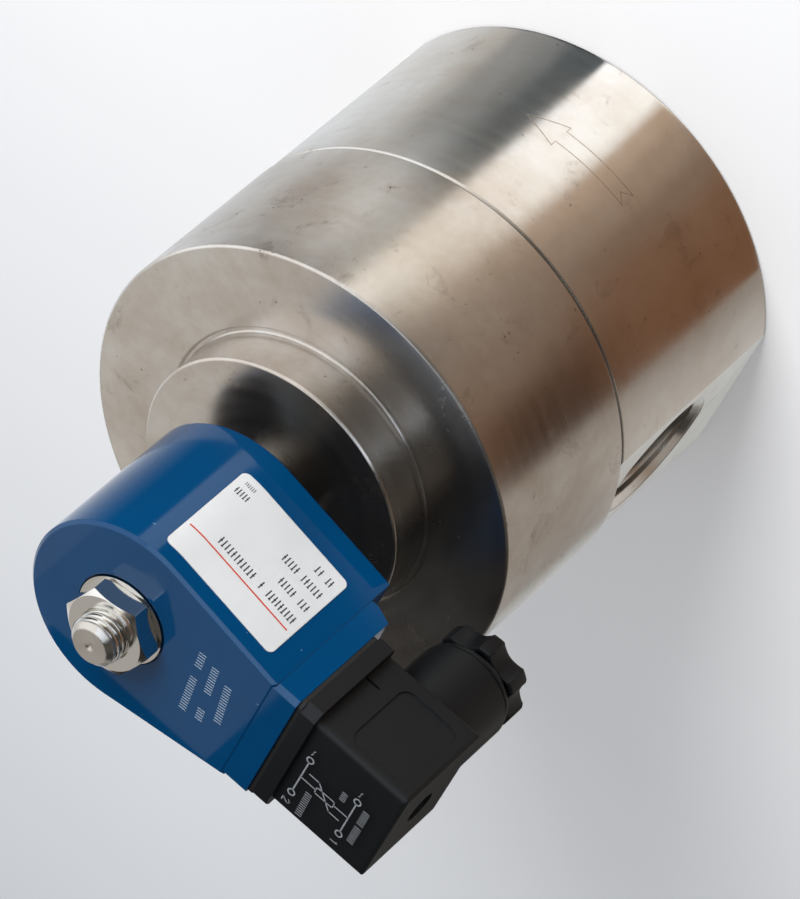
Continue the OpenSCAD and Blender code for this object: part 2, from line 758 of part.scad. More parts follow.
// Block of the housing, drawn from the flange outwards, with a bevelled end
module housing_block() {
  c = 0.7;
  w = housing_w / 2;
  h = housing_h / 2;
  difference() {
    linear_extrude(housing_l) round_rect(housing_w, housing_h, housing_round);
    for (s = [-1, 1]) {
      translate([s * w, 0, housing_l]) rotate([0, 45, 0])
        cube([sqrt(2) * c, housing_h + over, sqrt(2) * c], center = true);
      translate([0, s * h, housing_l]) rotate([45, 0, 0])
        cube([housing_w + over, sqrt(2) * c, sqrt(2) * c], center = true);
    }
  }
}

// Barrel under the housing with the threaded neck that the gland nut covers
module barrel_solid() {
  r = barrel_d / 2;
  collar_r = r - 0.4;
  neck_r = neck_d / 2;
  neck_foot = grommet_z + 1.5 - barrel_z;
  turned([[0, neck_foot], [neck_r - 0.5, neck_foot], [neck_r, neck_foot + 0.5], [neck_r, 0],
    [collar_r - 0.8, 0], [collar_r - 0.25, 0.25], [collar_r, 0.8], [collar_r, 1.5],
    [collar_r - 0.4, 1.7], [collar_r - 0.4, 2], [r, 2.3], [r, barrel_h + over],
    [0, barrel_h + over]]);
}

// Shallow panel on a side of the housing
module side_panel(s) {
  w = 15.9;
  h = 21;
  translate([-end_x + panel_margin + w / 2, s * (housing_w / 2 - panel_depth), housing_z + 0.7])
    rotate([-s * 90, 0, 0]) linear_extrude(panel_depth + over) round_rect(w, h, panel_round);
}

// Narrow latch slit beside the flange
module side_slit(s) {
  translate([-housing_x - 1.7, s * housing_w / 2, conn_z - slit_drop])
    cube([3.6, 1.6, 0.6], center = true);
}

module contact_carrier() {
  w = cavity_w - 2 * carrier_gap;
  h = cavity_h - 2 * carrier_gap;
  color([0.20, 0.20, 0.21]) on_connector(flange_x) difference() {
    translate([0, -housing_drop, 0]) linear_extrude(carrier_l) square([w, h], center = true);
    for (s = [-1, 1]) translate([s * blade_pitch / 2, 0, 0]) carrier_cell(0);
    translate([0, -earth_drop, 0]) carrier_cell(90);
    translate([0, 0, -over]) cylinder(d = screw_d + 0.4, h = carrier_l + 2 * over);
  }
}

// Room for one clamp, its screw and the blade that enters it
module carrier_cell(turn) {
  rotate([0, 0, turn]) {
    translate([0, 0, blade_l / 2 - gasket_t / 2])
      cube([blade_t + 0.4, blade_w + 0.4, blade_l + gasket_t], center = true);
    translate([0, 0, carrier_l - clamp_l / 2 + over / 2])
      cube([clamp_h + 0.1, clamp_w + 0.1, clamp_l + over + 0.1], center = true);
  }
}

// Places a child at each of the three contacts, X along the blade's thickness
module at_contacts() {
  on_connector(flange_x + carrier_l) {
    for (s = [-1, 1]) translate([s * blade_pitch / 2, 0, 0]) children();
    translate([0, -earth_drop, 0]) rotate([0, 0, 90]) children();
  }
}

module contact_clamps() {
  color([0.80, 0.66, 0.32]) at_contacts() difference() {
    translate([0, 0, -clamp_l / 2]) cube([clamp_h, clamp_w, clamp_l], center = true);
    translate([0, 0, -clamp_l - over]) cylinder(d = clamp_screw_d, h = clamp_l + 2 * over);
  }
}

module clamp_screws() {
  head_h = 1.2;
  color([0.75, 0.75, 0.74]) at_contacts() difference() {
    union() {
      translate([0, 0, -clamp_l + 0.6]) cylinder(d = clamp_screw_d - 2 * fit, h = clamp_l - 0.6);
      cylinder(d = clamp_screw_d + 1.6, h = head_h);
    }
    translate([0, 0, head_h]) cube([clamp_screw_d + 3, 0.7, 1], center = true);
  }
}

module centre_screw() {
  head_z = screw_seal_wire - pocket_depth;
  shank = end_x - pedestal_x + head_z + screw_grip - 1;
  color([0.78, 0.78, 0.77]) on_connector(end_x) translate([0, 0, head_z]) difference() {
    union() {
      cylinder(d = screw_head_d, h = screw_head_l);
      translate([0, 0, -shank]) cylinder(d = screw_d, h = shank + over / 2);
    }
    translate([0, 0, screw_head_l]) cube([screw_head_d + 1, 0.9, 1.6], center = true);
  }
}

module screw_seal() {
  w = screw_seal_wire;
  color([0.1, 0.1, 0.1]) on_connector(end_x)
    round_ring((screw_d + w) / 2 + 0.3, w, w / 2 - pocket_depth);
}

module gland_grommet() {
  color([0.12, 0.12, 0.12]) translate([-gland_x, 0, grommet_z])
    sleeve(gland_bore - 2 * fit, cable_d, grommet_h);
}

module gland_washer() {
  color([0.70, 0.70, 0.70]) translate([-gland_x, 0, gland_z + gland_floor])
    sleeve(gland_bore - 2 * fit, cable_d + 1, gland_washer_t);
}

// Skirted nut whose wall follows six lobes
module gland_nut() {
  color([0.12, 0.12, 0.12]) translate([-gland_x, 0, gland_z]) difference() {
    intersection() {
      linear_extrude(gland_h) lobed_outline(gland_waist_d / 2, gland_d / 2);
      turned([[0, 0], [gland_d / 2 - 1.2, 0], [gland_d / 2 - 0.3, 0.5], [gland_d / 2, 1.5],
        [gland_d / 2, gland_h], [0, gland_h]]);
    }
    translate([0, 0, gland_floor]) cylinder(d = neck_d + 2 * fit, h = gland_h);
    translate([0, 0, gland_h - 4]) linear_extrude(4 + over)
      lobed_outline(gland_waist_d / 2 - gland_wall + 0.4, gland_d / 2 - gland_wall);
    translate([0, 0, -over]) cylinder(d = cable_d + 1.6, h = gland_floor + 2 * over);
  }
}

// Disc of the tip radius with a broad flute between each two lobes, down to the waist radius
module lobed_outline(waist_r, tip_r) {
  flute_r = tip_r * 0.8;
  difference() {
    circle(r = tip_r);
    for (i = [0 : gland_lobes - 1]) rotate([0, 0, 360 * i / gland_lobes])
      translate([waist_r + flute_r, 0]) circle(r = flute_r);
  }
}

valve_body();
bonnet();
body_seal();
armature_tube();
tube_seal();
fixed_core();
piston();
piston_ring();
guide_ring();
seat_disc();
seat_retainer();
piston_spring();
plunger();
pilot_disc();
plunger_spring();
coil_seat_seal();
coil_washer();
coil_nut();
coil_housing();
bobbin();
copper_winding();
yoke_sleeve();
yoke_top_plate();
yoke_bottom_plate();
line_blades();
earth_blade();
rating_label();
connector_gasket();
connector_housing();
contact_carrier();
contact_clamps();
clamp_screws();
centre_screw();
screw_seal();
gland_grommet();
gland_washer();
gland_nut();
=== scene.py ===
import json
import math

import bpy
from mathutils import Matrix, Vector


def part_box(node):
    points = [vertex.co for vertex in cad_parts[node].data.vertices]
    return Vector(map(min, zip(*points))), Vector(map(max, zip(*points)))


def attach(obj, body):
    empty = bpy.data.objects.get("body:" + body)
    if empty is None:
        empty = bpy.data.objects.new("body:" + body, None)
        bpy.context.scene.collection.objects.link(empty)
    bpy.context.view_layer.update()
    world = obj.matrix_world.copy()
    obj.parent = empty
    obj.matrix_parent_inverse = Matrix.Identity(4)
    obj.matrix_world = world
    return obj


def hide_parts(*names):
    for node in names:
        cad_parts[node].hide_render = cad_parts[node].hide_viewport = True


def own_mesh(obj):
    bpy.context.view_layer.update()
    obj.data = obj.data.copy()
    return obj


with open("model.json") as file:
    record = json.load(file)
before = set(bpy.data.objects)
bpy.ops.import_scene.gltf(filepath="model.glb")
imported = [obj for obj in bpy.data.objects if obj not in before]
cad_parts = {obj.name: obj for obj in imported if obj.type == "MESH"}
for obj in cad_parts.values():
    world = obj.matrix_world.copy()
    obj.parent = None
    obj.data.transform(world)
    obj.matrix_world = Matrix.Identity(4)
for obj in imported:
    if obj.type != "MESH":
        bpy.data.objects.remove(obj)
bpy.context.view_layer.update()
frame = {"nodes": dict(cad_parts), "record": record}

MM = 0.001
nodes = frame["nodes"]


# Colour and nodes

def linear(code, level=1.0):
    """A hex sRGB colour as linear RGBA, times a level."""
    parts = [int(code[i:i + 2], 16) / 255 for i in (1, 3, 5)]
    parts = [c / 12.92 if c <= 0.04045 else ((c + 0.055) / 1.055) ** 2.4 for c in parts]
    return tuple(c * level for c in parts) + (1.0,)


def per_metre(size_mm):
    """How many cells of a pattern fit in a metre, from the size of one in mm."""
    return 1.0 / (size_mm * MM)


def add(tree, kind, inputs=None, stops=(), **settings):
    """Adds one node: its settings by name, its inputs by name or index, a ramp's stops by place.
    An input is a value, a socket or a node, whose first output is linked."""
    made = tree.nodes.new("ShaderNode" + kind)
    for key, value in settings.items():
        setattr(made, key, value)
    for i, (place, tone) in enumerate(stops):
        band = made.color_ramp.elements
        stop = band[i] if i < 2 else band.new(place)
        stop.position = place
        stop.color = tone if isinstance(tone, tuple) else (tone, tone, tone, 1.0)
    for key, value in (inputs or {}).items():
        if isinstance(value, bpy.types.Node):
            value = value.outputs[0]
        if isinstance(value, bpy.types.NodeSocket):
            tree.links.new(value, made.inputs[key])
        else:
            made.inputs[key].default_value = value
    return made


def blank(name):
    """A new material and its empty node tree."""
    made = bpy.data.materials.new(name)
    made.use_nodes = True
    made.node_tree.nodes.clear()
    return made, made.node_tree


# Materials

def turned_stainless(name, tone, warm, rough, groove, soil, drawn=0.6, axis="Z"):
    """Stainless bar turned on a lathe. The tool leaves fine rings, so a reflection is drawn out
    across them and stays sharp along them. Storage leaves soft grey and brown patches, a few dark
    smudges and pin pricks of rust, and painted shade darkens the corners and joints."""
    made, tree = blank(name)
    place = add(tree, "TexCoord").outputs["Object"]
    xyz = add(tree, "SeparateXYZ", {0: place}).outputs
    first, second, along = {"Z": (0, 1, 2), "X": (1, 2, 0)}[axis]
    flat = add(tree, "CombineXYZ", {0: xyz[first], 1: xyz[second]})
    radius = add(tree, "VectorMath", {0: flat}, operation="LENGTH").outputs["Value"]
    angle = add(tree, "Math", {0: xyz[second], 1: xyz[first]}, operation="ARCTAN2")
    drift = add(tree, "Math", {0: angle, 1: 0.6 * MM}, operation="MULTIPLY")
    rings = add(tree, "CombineXYZ", {0: radius, 1: xyz[along], 2: drift})
    # The tool's feed is about 0.15 mm; it is drawn at 0.4 mm, or it would not show.
    feed = add(tree, "TexNoise", {
        "Vector": rings, "Scale": per_metre(0.4), "Detail": 3.0, "Roughness": 0.6})
    passes = add(tree, "TexNoise", {"Vector": rings, "Scale": per_metre(2.4), "Detail": 2.0})
    # Soft patches about 35 mm across, mottled down to 1.5 mm
    cloud = add(tree, "TexNoise", {
        "Vector": place, "Scale": per_metre(35.0), "Detail": 5.0, "Roughness": 0.68})
    mottle = add(tree, "ValToRGB", {0: cloud}, stops=[(0.36, 0.0), (0.66, 1.0)])
    # Smudges about 9 mm across, and specks of rust about 1 mm across near them
    smear = add(tree, "TexNoise", {
        "Vector": place, "Scale": per_metre(9.0), "Detail": 4.0, "Roughness": 0.7, "Distortion": 0.6})
    smudge = add(tree, "ValToRGB", {0: smear}, stops=[(0.6, 0.0), (0.78, 0.5 * soil)])
    speck = add(tree, "TexNoise", {"Vector": place, "Scale": per_metre(1.1), "Detail": 1.0})
    rust = add(tree, "ValToRGB", {0: speck}, stops=[(0.735, 0.0), (0.775, soil)])
    where = add(tree, "ValToRGB", {0: smear}, stops=[(0.5, 0.0), (0.62, 1.0)])
    rust = add(tree, "Math", {0: rust, 1: where}, operation="MULTIPLY")
    # Painted shade: ambient occlusion darkens the base colour in corners, grooves and joints
    corner = add(tree, "AmbientOcclusion", {"Distance": 1.4 * MM}, samples=6, only_local=False)
    corner_shade = add(tree, "ValToRGB", {0: corner.outputs["AO"]}, stops=[(0.3, 0.5), (0.7, 0.0)])
    tint = add(tree, "MixRGB", {0: mottle, 1: linear(tone), 2: linear(warm)})
    tint = add(tree, "MixRGB", {0: smudge, 1: tint, 2: linear("#8B8178")})
    tint = add(tree, "MixRGB", {0: rust, 1: tint, 2: linear("#5E4838")})
    tint = add(tree, "MixRGB", {0: corner_shade, 1: tint, 2: linear("#2E2824")})
    sheen = add(tree, "MapRange", {0: passes, 1: 0.3, 2: 0.7, 3: rough - 0.02, 4: rough + 0.02})
    dull = add(tree, "Math", {0: smudge, 1: 0.22, 2: sheen}, operation="MULTIPLY_ADD")
    round_edge = add(tree, "Bevel", {0: 0.45 * MM}, samples=4)
    relief = add(tree, "Bump", {"Distance": groove * MM, "Height": feed, "Normal": round_edge})
    tangent = add(tree, "Tangent", direction_type="RADIAL", axis=axis)
    skin = add(tree, "BsdfPrincipled", {
        "Base Color": tint, "Metallic": 1.0, "Roughness": dull, "Anisotropic": drawn,
        "Anisotropic Rotation": 0.25, "Tangent": tangent, "Normal": relief})
    add(tree, "OutputMaterial", {0: skin})
    return made


def plain_metal(name, tone, rough, grain_mm, depth):
    """A plated, drawn or stamped metal: even in colour, with a faint uneven skin whose grain size
    and depth are in mm."""
    made, tree = blank(name)
    place = add(tree, "TexCoord").outputs["Object"]
    grain = add(tree, "TexNoise", {"Vector": place, "Scale": per_metre(grain_mm), "Detail": 3.0})
    sheen = add(tree, "MapRange", {0: grain, 1: 0.3, 2: 0.7, 3: rough - 0.03, 4: rough + 0.03})
    relief = add(tree, "Bump", {"Distance": depth * MM, "Height": grain})
    skin = add(tree, "BsdfPrincipled", {
        "Base Color": linear(tone), "Metallic": 1.0, "Roughness": sheen, "Normal": relief})
    add(tree, "OutputMaterial", {0: skin})
    return made


def moulded(name, tone, rough, grain, wave, specks=None, shine=0.5):
    """Cast or injection moulded plastic or rubber: a 0.5 mm tool grain and a slow 11 mm waviness,
    their depths in mm, and an even colour with faint flow marks. Specks are trapped dust."""
    made, tree = blank(name)
    place = add(tree, "TexCoord").outputs["Object"]
    flow = add(tree, "TexNoise", {"Vector": place, "Scale": per_metre(26.0), "Detail": 3.0})
    share = add(tree, "MapRange", {0: flow, 1: 0.3, 2: 0.7})
    tint = add(tree, "MixRGB", {0: share, 1: linear(tone), 2: linear(tone, 0.88)})
    if specks:
        dust = add(tree, "TexNoise", {"Vector": place, "Scale": per_metre(1.9), "Detail": 1.0})
        dots = add(tree, "ValToRGB", {0: dust}, stops=[(0.815, 0.0), (0.83, 1.0)])
        tint = add(tree, "MixRGB", {0: dots, 1: tint, 2: linear(specks)})
    sheen = add(tree, "MapRange", {0: flow, 1: 0.3, 2: 0.7, 3: rough, 4: rough + 0.05})
    fine = add(tree, "TexNoise", {"Vector": place, "Scale": per_metre(0.5), "Detail": 2.0})
    slow = add(tree, "TexNoise", {"Vector": place, "Scale": per_metre(11.0), "Detail": 1.0})
    height = add(tree, "Math", {0: slow, 1: wave / grain, 2: fine}, operation="MULTIPLY_ADD")
    round_edge = add(tree, "Bevel", {0: 0.35 * MM}, samples=4)
    relief = add(tree, "Bump", {"Distance": grain * MM, "Height": height, "Normal": round_edge})
    skin = add(tree, "BsdfPrincipled", {
        "Base Color": tint, "IOR": 1.5, "Specular IOR Level": shine, "Roughness": sheen,
        "Normal": relief})
    add(tree, "OutputMaterial", {0: skin})
    return made


def printed(name, tone, wear):
    """Pad printed ink, a thin dull film, worn thin in spots about 1 mm across."""
    made, tree = blank(name)
    place = add(tree, "TexCoord").outputs["Object"]
    spots = add(tree, "TexNoise", {"Vector": place, "Scale": per_metre(1.0), "Detail": 2.0})
    share = add(tree, "MapRange", {0: spots, 1: 0.45, 2: 0.75, 3: 0.0, 4: wear})
    tint = add(tree, "MixRGB", {0: share, 1: linear(tone), 2: linear(tone, 0.35)})
    skin = add(tree, "BsdfPrincipled", {"Base Color": tint, "IOR": 1.5, "Roughness": 0.55})
    add(tree, "OutputMaterial", {0: skin})
    return made


turned_body = turned_stainless(
    "turned_stainless_body", "#DEDDDB", "#CFC7BE", rough=0.23, groove=0.0005, soil=0.8)
turned_bonnet = turned_stainless(
    "turned_stainless_bonnet", "#DAD8D5", "#C3BAB1", rough=0.24, groove=0.0004, soil=1.0, drawn=0.15)
machined = turned_stainless(
    "machined_stainless_inner", "#D2D0CC", "#C8C2BA", rough=0.3, groove=0.002, soil=0.0)
plated = plain_metal("nickel_plated_steel", "#E2E1DE", 0.14, 1.1, 0.0006)

# Each finish by its slot in the record
FINISHES = {
    "turned_stainless": turned_body,
    "inner_stainless": machined,
    "spring_steel": plain_metal("drawn_spring_wire", "#B9B7B3", 0.25, 1.1, 0.001),
    "yoke_steel": plain_metal("zinc_plated_yoke_steel", "#C6C8CA", 0.32, 1.1, 0.002),
    "bright_plated": plated,
    "copper": plain_metal("enamelled_copper_winding", "#B8673A", 0.3, 0.35, 0.004),
    "contact_brass": plain_metal("stamped_brass", "#D6B56A", 0.28, 1.1, 0.001),
    "tinned_brass": plain_metal("tin_plated_brass", "#D9D8D3", 0.3, 1.1, 0.001),
    "coil_blue": moulded("glossy_blue_epoxy", "#003F6B", 0.07, 0.0003, 0.002, "#7F9DBB", shine=0.36),
    "label_film": moulded("white_label_film", "#D4D5D5", 0.26, 0.0003, 0.012),
    "connector_black": moulded("black_polyamide", "#0F1215", 0.48, 0.0022, 0.003, shine=0.35),
    "carrier_grey": moulded("grey_polyamide", "#6E7072", 0.45, 0.002, 0.004),
    "bobbin_polymer": moulded("natural_polyamide", "#D8D2C0", 0.4, 0.001, 0.004),
    "seat_polymer": moulded("seat_polymer", "#D9D5C8", 0.42, 0.001, 0.004),
    "ring_bronze": plain_metal("guide_bronze", "#B98A54", 0.32, 1.1, 0.001),
    "ring_filled": moulded("carbon_filled_ptfe", "#3A3A3B", 0.5, 0.001, 0.004),
    "black_rubber": moulded("black_nitrile_rubber", "#1E1E1E", 0.6, 0.003, 0.006),
}
for part in frame["record"]["subparts"]:
    mesh = nodes[part["node"]].data
    mesh.materials.clear()
    mesh.materials.append(FINISHES[part["material_slot"]])
nodes["bonnet"].data.materials[0] = turned_bonnet


# Small parts and prints that ride on the CAD pieces

def piece(name, points, faces, material, body, smooth=False):
    """A mesh from points in mm, riding on a CAD body."""
    mesh = bpy.data.meshes.new(name)
    mesh.from_pydata([Vector(p) * MM for p in points], [], faces)
    mesh.materials.append(material)
    for face in mesh.polygons:
        face.use_smooth = smooth
    made = bpy.data.objects.new(name, mesh)
    bpy.context.scene.collection.objects.link(made)
    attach(made, body)
    return made


def bar(start, end, width):
    """A straight printed stroke as flat quads of at most 1 mm, in the face's own two directions."""
    along = Vector(end) - Vector(start)
    cells = max(1, math.ceil(along.length))
    across = Vector((-along.y, along.x)).normalized() * width / 2
    quads = []
    for i in range(cells):
        a = Vector(start) + along * (i / cells)
        b = Vector(start) + along * ((i + 1) / cells)
        quads.append([a - across, b - across, b + across, a + across])
    return quads


def strokes(path, width):
    """Bars along a path, each longer by half a width so that the corners close."""
    quads = []
    for start, end in zip(path, path[1:]):
        step = (Vector(end) - Vector(start)).normalized() * width / 2
        quads += bar(Vector(start) - step, Vector(end) + step, width)
    return quads


def loop(centre, radius, width, sides=24):
    """A printed ring."""
    quads = []
    for i in range(sides):
        turns = [2 * math.pi * (i + k) / sides for k in (0, 1)]
        inner, outer = ([Vector(centre) + r * Vector((math.cos(t), math.sin(t))) for t in turns]
                        for r in (radius - width / 2, radius + width / 2))
        quads.append([inner[0], outer[0], outer[1], inner[1]])
    return quads


def words(start, end, height, shares):
    """A row of short upright bars with small side strokes, as print looks from afar. Shares are the
    lengths of its words and gaps in turn, and the bars' pitch and widths follow from its height."""
    start, end = Vector(start), Vector(end)
    run = end - start
    up = Vector((-run.y, run.x)).normalized() * height / 2
    total, place, quads = sum(shares), 0.0, []
    for i, share in enumerate(shares):
        if i % 2 == 0:
            length = run.length * share / total
            count = max(1, round(length / (height * 0.42)))
            for k in range(count):
                middle = start + run * ((place + share * (k + 0.5) / count) / total)
                quads += bar(middle - up, middle + up, height * 0.14)
                if k % 3 != 2:
                    side = run.normalized() * height * 0.14
                    lift = up * (0.86 if k % 2 else -0.05)
                    quads += bar(middle + lift - side, middle + lift + side, height * 0.13)
        place += share
    return quads


def rows_of(table, shift=0.0):
    """The bars of several rows of print, each given by its start, end, height and shares."""
    quads = []
    for start, end, height, shares in table:
        quads += words((start[0] + shift, start[1]), (end[0] + shift, end[1]), height, shares)
    return quads


def print_on(name, quads, surface, material, body):
    """Prints quads on a surface that turns its two directions into a point."""
    points, faces = [], []
    for quad in quads:
        faces.append(tuple(range(len(points), len(points) + 4)))
        points += [surface(p.x, p.y) for p in quad]
    return piece(name, points, faces, material, body)


def thread(name, root, crest, pitch, start, end, centre, axis, material, body):
    """A screw thread as one helical ridge from start to end along an axis, its ends run out."""
    sides = 64
    turns = (end - start) / pitch
    steps = round(turns * sides)
    # Up a flank, along the crest and down again, in shares of the pitch and of the ridge's height
    profile = ((0.0, 0.0), (0.38, 1.0), (0.5, 1.0), (0.88, 0.0))
    points, faces = [], []
    for i in range(steps + 1):
        angle = 2 * math.pi * i / sides
        fade = min(1.0, 2.5 * min(i, steps - i) / sides)
        for share, height in profile:
            along = start + pitch * (i / sides) + (share - 0.44) * pitch
            along = min(max(along, start), end)
            radius = root + (crest - root) * height * fade
            ring = (radius * math.cos(angle), radius * math.sin(angle))
            if axis == "Z":
                points.append((centre[0] + ring[0], centre[1] + ring[1], along))
            else:
                points.append((along, centre[1] + ring[0], centre[2] + ring[1]))
        if i:
            base = 4 * (i - 1)
            faces += [(base + k, base + k + 1, base + k + 5, base + k + 4) for k in range(3)]
    return piece(name, points, faces, material, body, smooth=True)


def box_mm(node):
    """The two corners of a CAD node's box in mm."""
    low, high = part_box(node)
    return low / MM, high / MM


def turned_shape(name, outline, profile, centre, sides, material, body):
    """A ring of quads for each step of a profile of (inset, height) round an outline of radius by
    turn, closed to a fixed radius where a step gives (None, radius, height)."""
    points, faces = [], []
    for step in profile:
        for i in range(sides):
            turn = 2 * math.pi * i / sides
            radius = step[1] if step[0] is None else outline(turn) - step[0]
            points.append((centre[0] + radius * math.cos(turn), centre[1] + radius * math.sin(turn),
                           step[-1]))
    for k in range(len(profile) - 1):
        for i in range(sides):
            j = (i + 1) % sides
            faces.append((sides * k + i, sides * k + j, sides * (k + 1) + j, sides * (k + 1) + i))
    made = piece(name, points, faces, material, body, smooth=True)
    made.data.set_sharp_from_angle(angle=math.radians(32))
    return made


# Prints and other laid-on pieces stand this far off their face, so that the two don't fight.
HAIR = 0.02
label_ink = printed("dark_label_ink", "#3A3A3C", 0.3)
red_ink = printed("red_label_ink", "#C8442E", 0.2)
pale_ink = printed("pale_pad_print", "#9DB0C4", 0.25)
grey_ink = printed("grey_pad_print", "#8C9096", 0.4)
engraved = plain_metal("etched_line", "#C2B5A8", 0.42, 1.1, 0.001)

# The label bends round the coil's round end and lies flat on its straight taper.
ROUND_END = Vector((-4.7, -23.74))
TAPER_END = Vector((-36.5, -17.4))
LABEL_T = 0.2
coil_r = box_mm("coil_housing")[1].x
label_top = box_mm("rating_label")[1].z
taper = (TAPER_END - ROUND_END).normalized()
outward = Vector((-taper.y, taper.x))


def on_label(along, drop):
    """A point on the label: along from the taper's start towards the connector, down from its top."""
    height = label_top - drop
    if along >= 0:
        spot = ROUND_END + taper * along + outward * (LABEL_T + HAIR)
    else:
        turn = math.atan2(ROUND_END.y, ROUND_END.x) - along / coil_r
        spot = Vector((math.cos(turn), math.sin(turn))) * (coil_r + LABEL_T + HAIR)
    return spot.x, spot.y, height


def on_top(node):
    """A surface on top of a CAD piece."""
    level = box_mm(node)[1].z + HAIR
    return lambda x, y: (x, y, level)


# The label's print, in mm from its left edge, which is on the round end, and down from its top
LABEL_LEFT = -6.2
RED_LINE = ((1.0, 7.7), (31.4, 7.7), 0.42)
LABEL_ROWS = [
    ((31.2, 10.7), (7.4, 10.7), 2.3, [8.7, 1.6, 0.5, 1.9, 11.1]),
    ((31.3, 15.6), (22.2, 15.6), 2.2, [3.0, 1.3, 4.8]),
    ((31.0, 20.6), (19.0, 20.6), 2.2, [6.0, 1.2, 4.8]),
    ((30.8, 25.1), (25.4, 25.1), 2.2, [1.9, 1.2, 2.3]),
    ((5.4, 23.4), (1.5, 23.4), 1.9, [3.9]),
    ((5.0, 26.4), (2.0, 26.4), 1.1, [3.0]),
]
start, end, width = RED_LINE
print_on("label_red_line", bar((start[0] + LABEL_LEFT, start[1]), (end[0] + LABEL_LEFT, end[1]), width),
         on_label, red_ink, "coil")
print_on("label_bars", rows_of(LABEL_ROWS, LABEL_LEFT), on_label, label_ink, "coil")

# The print on the coil's top, in the part's own x and y
COIL_ROWS = [
    ((-19.4, -9.7), (-21.4, 9.3), 1.9, [5.0, 3.0, 11.0]),
    ((-23.4, -8.7), (-25.7, 8.5), 1.9, [7.6, 4.4, 3.4]),
    ((-27.8, -6.8), (-29.6, 5.0), 1.9, [12.0]),
]
print_on("coil_top_bars", rows_of(COIL_ROWS), on_top("coil_housing"), pale_ink, "coil")

# The circuit on the connector's top, in the part's own x and y: four terminals, each a ring, and lines
# with their widths. They are the two rails, the surge protector between them, its slanted line, a wave
# at each of two terminals, and the plain numbers 2 and 1.
TERMINALS = [(-51.1, -5.6), (-51.1, 6.6), (-64.5, -5.5), (-64.6, 6.6)]
TERMINAL_R, TERMINAL_LINE = 0.85, 0.38
CIRCUIT = [
    ([(-51.1, -4.6), (-51.1, 5.6)], 0.36),
    ([(-64.5, -4.5), (-64.6, 5.6)], 0.36),
    ([(-51.3, 0.6), (-55.4, 0.6)], 0.34),
    ([(-60.4, 0.6), (-64.5, 0.6)], 0.34),
    ([(-55.4, -0.35), (-60.4, -0.35), (-60.4, 1.55), (-55.4, 1.55), (-55.4, -0.35)], 0.34),
    ([(-52.6, -2.0), (-55.3, -2.0), (-60.2, 3.3), (-63.0, 3.3)], 0.34),
    ([(-50.7, -7.4), (-51.0, -7.9), (-50.8, -8.4), (-51.1, -8.9)], 0.26),
    ([(-64.1, -7.3), (-64.4, -7.8), (-64.2, -8.3), (-64.5, -8.8)], 0.26),
    ([(-51.5, 9.2), (-51.9, 9.5), (-51.9, 10.1), (-51.5, 10.4), (-50.0, 9.2), (-50.0, 10.4)], 0.28),
    ([(-65.2, 9.5), (-65.6, 9.8), (-63.7, 9.8)], 0.28),
]
CONNECTOR_ROWS = [
    ((-54.6, 2.9), (-54.9, 11.2), 1.7, [8.3]),
    ((-61.3, -5.2), (-61.4, -2.2), 1.5, [3.0]),
    ((-67.4, -5.0), (-67.6, 6.6), 1.8, [5.0, 0.7, 5.9]),
]
symbol = []
for terminal in TERMINALS:
    symbol += loop(terminal, TERMINAL_R, TERMINAL_LINE)
for path, width in CIRCUIT:
    symbol += strokes(path, width)
symbol += rows_of(CONNECTOR_ROWS)
print_on("connector_symbol", symbol, on_top("connector_housing"), grey_ink, "coil")


def coil_spring(name, node, wire, turns):
    """A wire spring in place of its rigid node."""
    low, high = box_mm(node)
    mean, middle = (high.x - low.x - wire) / 2, (low + high) / 2
    steps, sides = round(turns * 36), 12
    points, faces = [], []
    for i in range(steps + 1):
        turn = 2 * math.pi * turns * i / steps
        height = low.z + wire / 2 + (high.z - low.z - wire) * i / steps
        for k in range(sides):
            lean = 2 * math.pi * k / sides
            radius = mean + wire / 2 * math.cos(lean)
            points.append((middle.x + radius * math.cos(turn), middle.y + radius * math.sin(turn),
                           height + wire / 2 * math.sin(lean)))
    for i in range(steps):
        for k in range(sides):
            n = (k + 1) % sides
            faces.append((sides * i + k, sides * (i + 1) + k, sides * (i + 1) + n, sides * i + n))
    faces += [tuple(range(sides)), tuple(sides * steps + k for k in reversed(range(sides)))]
    made = piece(name, points, faces, FINISHES["spring_steel"], "valve", smooth=True)
    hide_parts(node)
    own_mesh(made)


coil_spring("piston_spring_wire", "piston_spring", wire=1.6, turns=5)
coil_spring("plunger_spring_wire", "plunger_spring", wire=0.7, turns=8)

# The gland nut with its seven grips
GRIPS = 7
NUT_SIDES = 48 * GRIPS
GRIP_TURN = math.radians(-34.0)
GRIP_R, WAIST_R, NECK_R = 11.6, 9.7, 6.2
NUT_WALL, NUT_FLOOR = 1.4, 2.5
HALF_TIP = math.radians(7.5)


def grip(turn):
    """The nut's radius at a turn: narrow flat grips with a hollow between each two."""
    pitch = 2 * math.pi / GRIPS
    off = abs((turn - GRIP_TURN + pitch / 2) % pitch - pitch / 2)
    if off < HALF_TIP:
        return GRIP_R
    share = (off - HALF_TIP) / (pitch / 2 - HALF_TIP)
    return GRIP_R - (GRIP_R - WAIST_R) * math.sin(math.pi / 2 * share) ** 0.7


nut_low, nut_high = box_mm("gland_nut")
centre = ((nut_low.x + nut_high.x) / 2, (nut_low.y + nut_high.y) / 2)
base, rim = nut_low.z, nut_high.z
# Up the outside with a rounded foot, over the rim, down the wall and across the floor to the neck
nut_steps = [
    (None, NECK_R, base), (1.5, base), (0.5, base + 0.35), (0.0, base + 1.3), (0.0, rim - 0.25),
    (0.25, rim), (1.2, rim), (NUT_WALL, rim - 0.2), (NUT_WALL, base + NUT_FLOOR),
    (None, NECK_R, base + NUT_FLOOR)]
gland = turned_shape("gland_nut_grips", grip, nut_steps, centre, NUT_SIDES, FINISHES["connector_black"],
                     "coil")
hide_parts("gland_nut")

